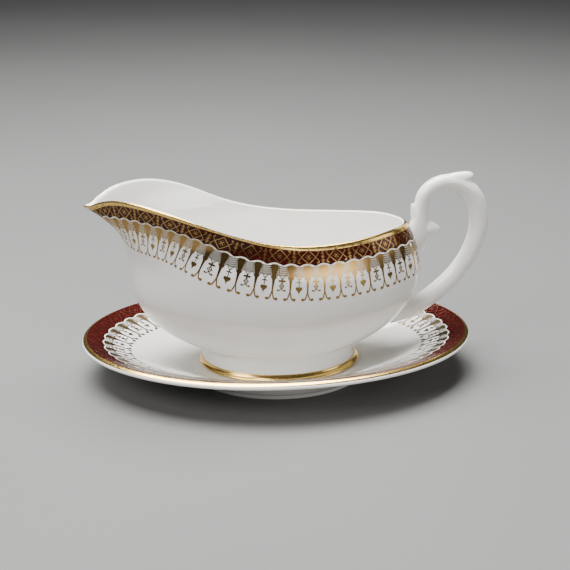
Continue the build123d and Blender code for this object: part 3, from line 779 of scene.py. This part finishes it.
# its two seats follow the bowl's wall and end just inside it
co = np.zeros(len(handle.data.vertices) * 3)
handle.data.vertices.foreach_get("co", co)
co = co.reshape(-1, 3) / MM
zt = np.linspace(19, 98, 240)
ft = np.linspace(-np.pi / 2, np.pi / 2, 181)
tab = on_hull(ft[None, :] + 0 * zt[:, None], zt[:, None] + 0 * ft[None, :])
zi = np.clip((co[:, 2] - 19) / (98 - 19) * 239, 0, 238.999)
i0 = zi.astype(int)
fr_ = zi - i0
wall_x = np.array([(1 - w) * np.interp(y, tab[i, :, 1], tab[i, :, 0]) + w * np.interp(y, tab[i + 1, :, 1], tab[i + 1, :, 0]) for i, w, y in zip(i0, fr_, co[:, 1])])
floor_x = wall_x - 0.7
co[:, 0] = np.maximum(co[:, 0], floor_x)
handle.data.vertices.foreach_set("co", (co * MM).ravel())
handle.data.update()
handle.data.polygons.foreach_set("use_smooth", np.ones(len(handle.data.polygons), bool))


# ------------------------------------------------------------------ materials
def nodes_of(name):
    m = bpy.data.materials.new(name)
    m.use_nodes = True
    nt = m.node_tree
    b = nt.nodes["Principled BSDF"]
    return m, nt, b


def link(nt, a, b):
    nt.links.new(a, b)


def noise(nt, scale, detail=3.0, rough=0.5, vec=None):
    n = nt.nodes.new("ShaderNodeTexNoise")
    n.inputs["Scale"].default_value = scale
    n.inputs["Detail"].default_value = detail
    n.inputs["Roughness"].default_value = rough
    if vec is not None:
        link(nt, vec, n.inputs["Vector"])
    return n


def ramp(nt, fac, stops):
    r = nt.nodes.new("ShaderNodeValToRGB")
    el = r.color_ramp.elements
    el[0].position, el[0].color = stops[0][0], (*stops[0][1], 1)
    el[1].position, el[1].color = stops[-1][0], (*stops[-1][1], 1)
    for p_, c_ in stops[1:-1]:
        e = el.new(p_)
        e.color = (*c_, 1)
    link(nt, fac, r.inputs["Fac"])
    return r


def bump(nt, b, height, strength, dist):
    n = nt.nodes.new("ShaderNodeBump")
    n.inputs["Strength"].default_value = strength
    n.inputs["Distance"].default_value = dist
    link(nt, height, n.inputs["Height"])
    link(nt, n.outputs["Normal"], b.inputs["Normal"])
    return n


def coords(nt):
    return nt.nodes.new("ShaderNodeTexCoord").outputs["Object"]


# glazed china: warm white body, very slight clouding, glaze that is not quite flat
china, nt, b = nodes_of("china_glaze")
v = coords(nt)
n1 = noise(nt, 38, 2.0, 0.5, v)
r = ramp(nt, n1.outputs["Fac"], [(0.3, (0.800, 0.785, 0.745)), (0.55, (0.825, 0.815, 0.785)), (0.8, (0.845, 0.835, 0.805))])
link(nt, r.outputs["Color"], b.inputs["Base Color"])
n2 = noise(nt, 260, 2.0, 0.5, v)
bump(nt, b, n2.outputs["Fac"], 0.06, 0.0002)
b.inputs["Roughness"].default_value = 0.09
b.inputs["IOR"].default_value = 1.52
b.inputs["Coat Weight"].default_value = 0.35
b.inputs["Coat Roughness"].default_value = 0.03
b.inputs["Subsurface Weight"].default_value = 0.08
b.inputs["Subsurface Radius"].default_value = (0.004, 0.0032, 0.0024)
b.inputs["Subsurface Scale"].default_value = 0.4

# burnished gilding, thin and slightly rubbed
gold, nt, b = nodes_of("burnished_gilding")
v = coords(nt)
n1 = noise(nt, 420, 3.0, 0.6, v)
r = ramp(nt, n1.outputs["Fac"], [(0.35, (0.79, 0.515, 0.15)), (0.75, (0.87, 0.60, 0.205))])
link(nt, r.outputs["Color"], b.inputs["Base Color"])
n2 = noise(nt, 900, 2.0, 0.5, v)
rr = ramp(nt, n2.outputs["Fac"], [(0.3, (0.16, 0.16, 0.16)), (0.8, (0.30, 0.30, 0.30))])
link(nt, rr.outputs["Color"], b.inputs["Roughness"])
b.inputs["Metallic"].default_value = 1.0

# printed gilding: the same metal, its base colour much darker than the burnished gold: partly the duller print, partly
# painted shade standing in for the dark reflections the print shows
gilt, nt, b = nodes_of("printed_gilding")
v = coords(nt)
n1 = noise(nt, 160, 2.0, 0.5, v)
# the dark base colour is partly painted reflected shade, not only the print's own tone
r = ramp(nt, n1.outputs["Fac"], [(0.3, (0.33, 0.200, 0.066)), (0.8, (0.42, 0.265, 0.093))])
link(nt, r.outputs["Color"], b.inputs["Base Color"])
b.inputs["Metallic"].default_value = 1.0
b.inputs["Roughness"].default_value = 0.24

# the same print worn thin, so that the maroon shows through it
worn, nt, b = nodes_of("worn_gilding")
v = coords(nt)
n1 = noise(nt, 240, 3.0, 0.6, v)
r = ramp(nt, n1.outputs["Fac"], [(0.3, (0.050, 0.009, 0.006)), (0.8, (0.105, 0.028, 0.012))])
link(nt, r.outputs["Color"], b.inputs["Base Color"])
b.inputs["Metallic"].default_value = 0.8
b.inputs["Roughness"].default_value = 0.30

# the stand's lace, printed darker
dark, nt, b = nodes_of("dark_printed_gilding")
v = coords(nt)
n1 = noise(nt, 160, 2.0, 0.5, v)
r = ramp(nt, n1.outputs["Fac"], [(0.3, (0.105, 0.072, 0.036)), (0.8, (0.19, 0.135, 0.068))])
link(nt, r.outputs["Color"], b.inputs["Base Color"])
b.inputs["Metallic"].default_value = 0.9
b.inputs["Roughness"].default_value = 0.30

# maroon ground under glaze, a little uneven from hand laying
maroon, nt, b = nodes_of("maroon_ground")
v = coords(nt)
n1 = noise(nt, 90, 4.0, 0.6, v)
r = ramp(nt, n1.outputs["Fac"], [(0.3, (0.026, 0.0029, 0.0022)), (0.6, (0.034, 0.0038, 0.0029)), (0.85, (0.043, 0.0050, 0.0038))])
link(nt, r.outputs["Color"], b.inputs["Base Color"])
n2 = noise(nt, 300, 2.0, 0.5, v)
bump(nt, b, n2.outputs["Fac"], 0.06, 0.0002)
b.inputs["Roughness"].default_value = 0.12
b.inputs["IOR"].default_value = 1.42
b.inputs["Specular IOR Level"].default_value = 0.28

# raised cream enamel of the scalloped line
cream, nt, b = nodes_of("cream_enamel")
v = coords(nt)
n1 = noise(nt, 500, 2.0, 0.5, v)
r = ramp(nt, n1.outputs["Fac"], [(0.3, (0.70, 0.66, 0.56)), (0.8, (0.80, 0.77, 0.68))])
link(nt, r.outputs["Color"], b.inputs["Base Color"])
b.inputs["Roughness"].default_value = 0.18


def dress(ob, mat, body, slot, *nodes):
    ob.data.materials.clear()
    ob.data.materials.append(mat)
    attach(ob, body)
    if nodes:
        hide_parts(*nodes)


dress(bowl, china, "boat", "china", "boat_bowl")
dress(handle, china, "boat", "china", "boat_handle")
dress(rim_gold, gold, "boat", "gilding", "boat_rim_gilding")
dress(foot_gold, gold, "boat", "gilding", "boat_foot_gilding")
dress(band, maroon, "boat", "maroon_glaze", "boat_maroon_band")
dress(print_ob, gilt, "boat", "gilt_print", "boat_band_gilt_print")
dress(lace_ob, gilt, "boat", "gilt_print", "boat_lace_border")
dress(beading, cream, "boat", "china")
dress(stand, china, "stand", "china", "stand_plate")
dress(stand_gold, gold, "stand", "gilding", "stand_rim_gilding")
dress(stand_band, maroon, "stand", "maroon_glaze", "stand_maroon_band")
dress(stand_lace, dark, "stand", "gilt_print", "stand_lace_border")
dress(stand_print, worn, "stand", "gilt_print", "stand_band_gilt_print")
dress(stand_bead, cream, "stand", "china")

# ------------------------------------------------------------------ floor, light and camera
bpy.ops.mesh.primitive_plane_add(size=40, location=(0, 0, 0))
floor = bpy.context.object
floor.name = "studio_floor"
fm, nt, b = nodes_of("studio_floor_paper")
n1 = noise(nt, 3, 2.0, 0.5, coords(nt))
r = ramp(nt, n1.outputs["Fac"], [(0.3, (0.128, 0.127, 0.1245)), (0.8, (0.142, 0.141, 0.138))])
link(nt, r.outputs["Color"], b.inputs["Base Color"])
b.inputs["Roughness"].default_value = 0.75
floor.data.materials.append(fm)

w = bpy.data.worlds.new("studio")
bpy.context.scene.world = w
w.use_nodes = True
w.node_tree.nodes["Background"].inputs["Color"].default_value = (0.50, 0.52, 0.56, 1)
w.node_tree.nodes["Background"].inputs["Strength"].default_value = 0.14


def area(name, loc, target, size, power, color=(1, 1, 1), size_y=None):
    d = bpy.data.lights.new(name, "AREA")
    d.energy, d.color = power, color
    d.shape = "RECTANGLE"
    d.size, d.size_y = size, size_y or size
    o = bpy.data.objects.new(name, d)
    bpy.context.scene.collection.objects.link(o)
    o.location = loc
    o.rotation_euler = (Vector(target) - Vector(loc)).to_track_quat("-Z", "Y").to_euler()
    return o


area("top", (-0.13, 0.14, 0.95), (0, 0, 0.05), 0.95, 50, (1.0, 1.0, 1.0), 0.75)
area("key", (-0.75, -0.62, 0.80), (0, 0, 0.05), 0.45, 7.0, (1.0, 0.99, 0.97))
area("reflector", (0.60, -0.95, 0.26), (0.02, 0, 0.06), 0.60, 3.0, (1.0, 0.98, 0.94), 0.30)
area("fill", (0.95, -0.35, 0.50), (0, 0, 0.05), 0.40, 1.2, (1.0, 0.97, 0.93))

AZ, EL, DIST, ROLL = math.radians(-8.0), math.radians(20.4), 0.596, math.radians(0.45)
TARGET = Vector((0.00344, 0.0, 0.0455))
back = Vector((math.sin(AZ) * math.cos(EL), -math.cos(AZ) * math.cos(EL), math.sin(EL)))
rt = Vector((math.cos(AZ), math.sin(AZ), 0))
upv = back.cross(rt)
r2 = rt * math.cos(ROLL) + upv * math.sin(ROLL)
u2 = -rt * math.sin(ROLL) + upv * math.cos(ROLL)
cam = bpy.data.cameras.new("camera")
cam.sensor_width = 36.0
cam.lens = 1172.6 / 570.0 * 36.0
cam.clip_start = 0.01
co_ = bpy.data.objects.new("camera", cam)
bpy.context.scene.collection.objects.link(co_)
M = Matrix((r2, u2, back)).transposed().to_4x4()
M.translation = TARGET + back * DIST
co_.matrix_world = M
bpy.context.scene.camera = co_
